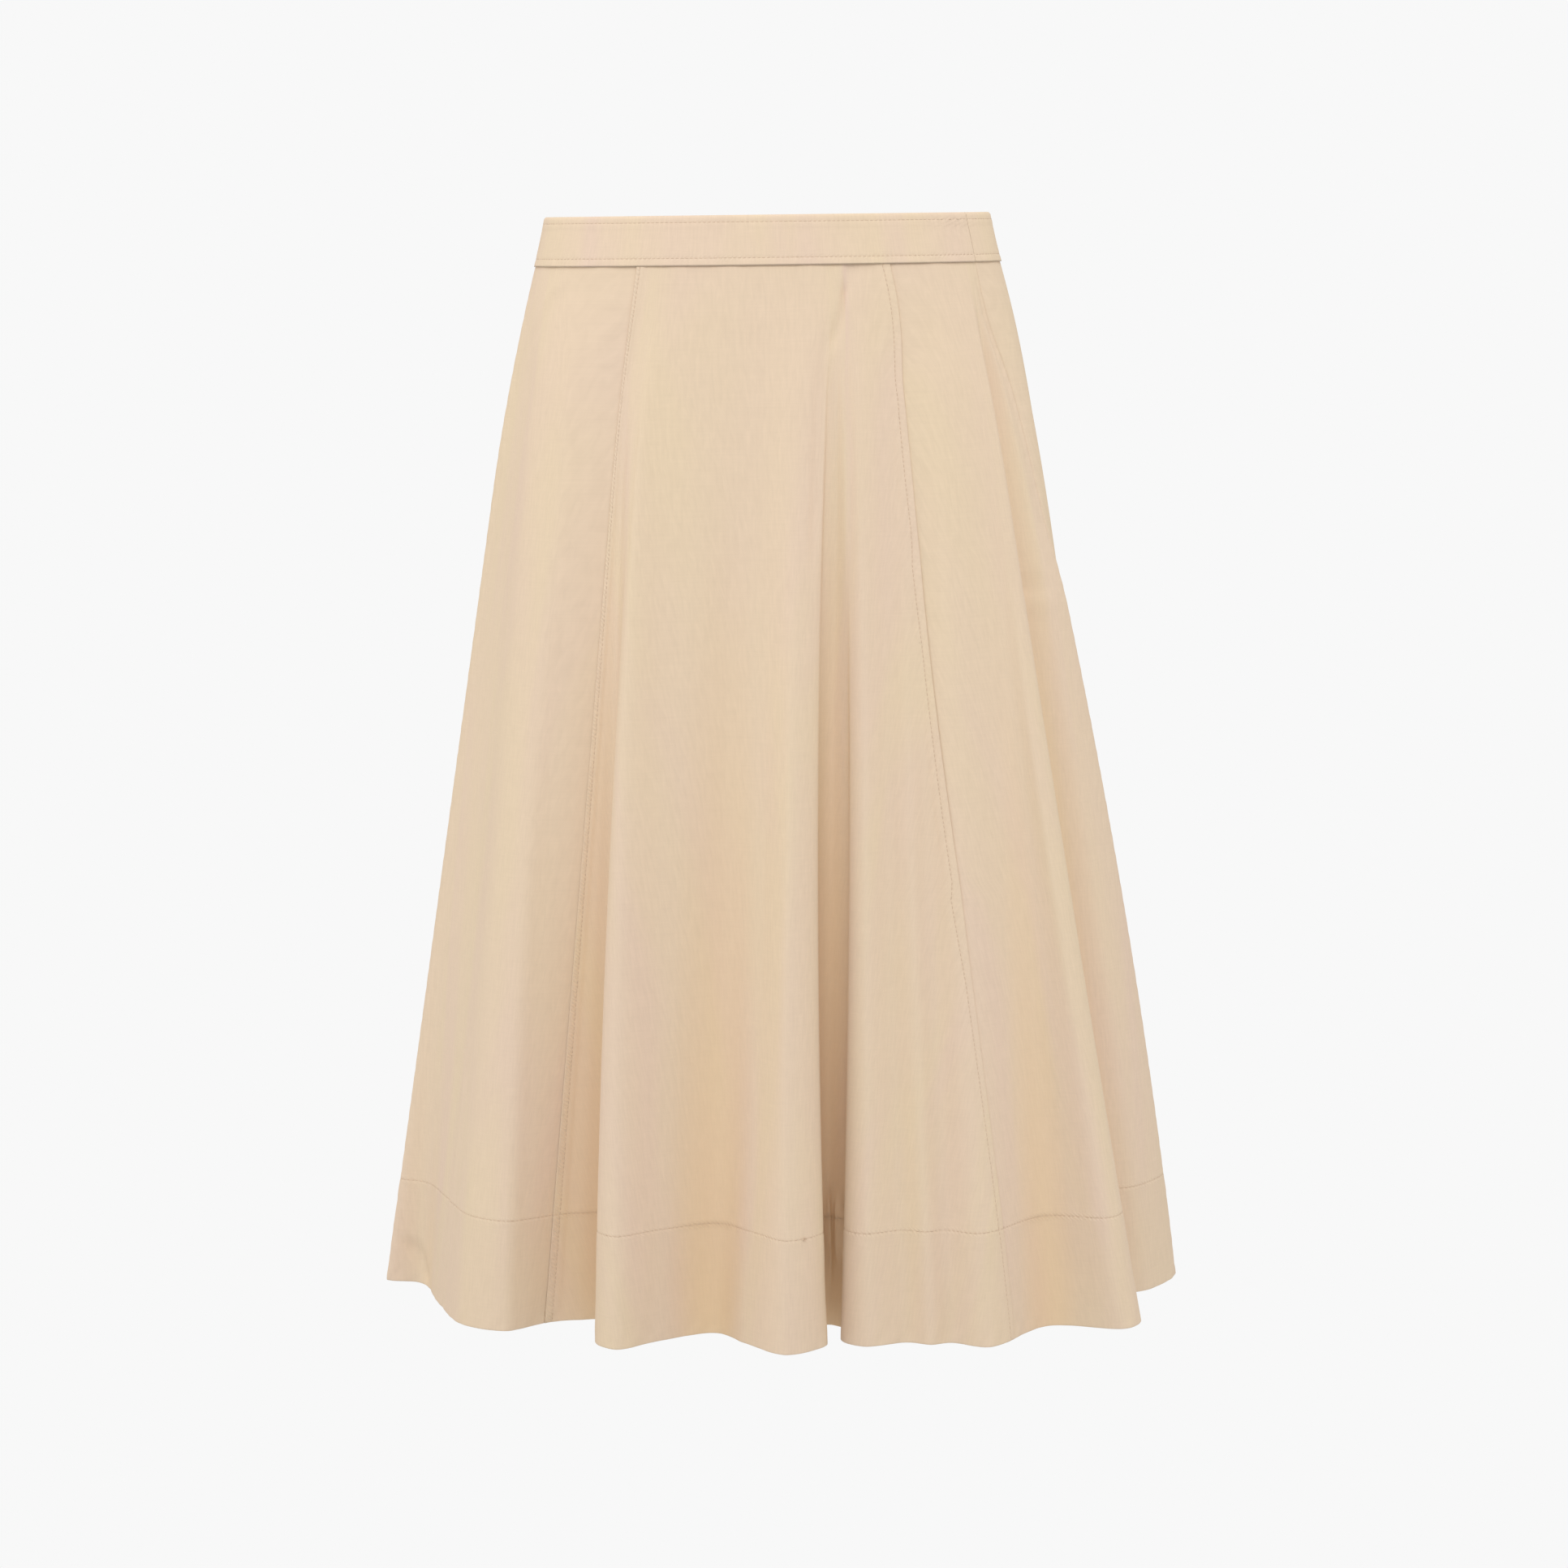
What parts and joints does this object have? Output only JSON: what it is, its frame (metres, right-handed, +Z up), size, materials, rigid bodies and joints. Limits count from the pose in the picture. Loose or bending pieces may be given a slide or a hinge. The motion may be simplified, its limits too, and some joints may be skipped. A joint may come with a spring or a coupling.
{
  "type": "flared midi skirt",
  "caption": "Gored midi skirt on a straight waistband, filled out as worn, its flare falling in soft unpressed folds to a deep turned-up hem, with a hidden zip at the back.",
  "frame": {"origin": "middle of the waist opening, level with the waistband's top edge", "axes": "+Z up towards the waist, -Y towards the front of the skirt, +X towards the wearer's left; the hem is at Z -0.75"},
  "size_m": [0.5616, 0.3706, 0.7502],
  "materials": {
    "gore_side_front_right": "plain weave, matte",
    "gore_front_centre": "plain weave, matte",
    "gore_side_front_left": "plain weave, matte",
    "gore_side_back_left": "plain weave, matte",
    "gore_back_left": "plain weave, matte",
    "gore_back_right": "plain weave, matte",
    "gore_side_back_right": "plain weave, matte",
    "waistband_front": "plain weave, matte",
    "waistband_back_left": "plain weave, matte",
    "waistband_back_right": "plain weave, matte",
    "zip_tape_left": "narrow woven tape",
    "zip_tape_right": "narrow woven tape",
    "zip_slider": "enamelled to match the cloth",
    "zip_pull": "enamelled to match the cloth"
  },
  "bodies": {
    "root": {"gore_side_front_right": "gore_side_front_right", "gore_front_centre": "gore_front_centre", "gore_side_front_left": "gore_side_front_left", "gore_side_back_left": "gore_side_back_left", "gore_back_left": "gore_back_left", "gore_back_right": "gore_back_right", "gore_side_back_right": "gore_side_back_right", "waistband_front": "waistband_front", "waistband_back_left": "waistband_back_left", "waistband_back_right": "waistband_back_right", "zip_tape_left": "zip_tape_left", "zip_tape_right": "zip_tape_right", "zip_slider": "zip_slider"},
    "pull": {"zip_pull": "zip_pull"}
  },
  "joints": [
    {"name": "pull_hinge", "type": "hinge", "parent": "root", "child": "pull", "pos_m": [0, 0.07687, -0.0065], "axis": [1, 0, 0], "range_deg": [0, 150]}
  ]
}
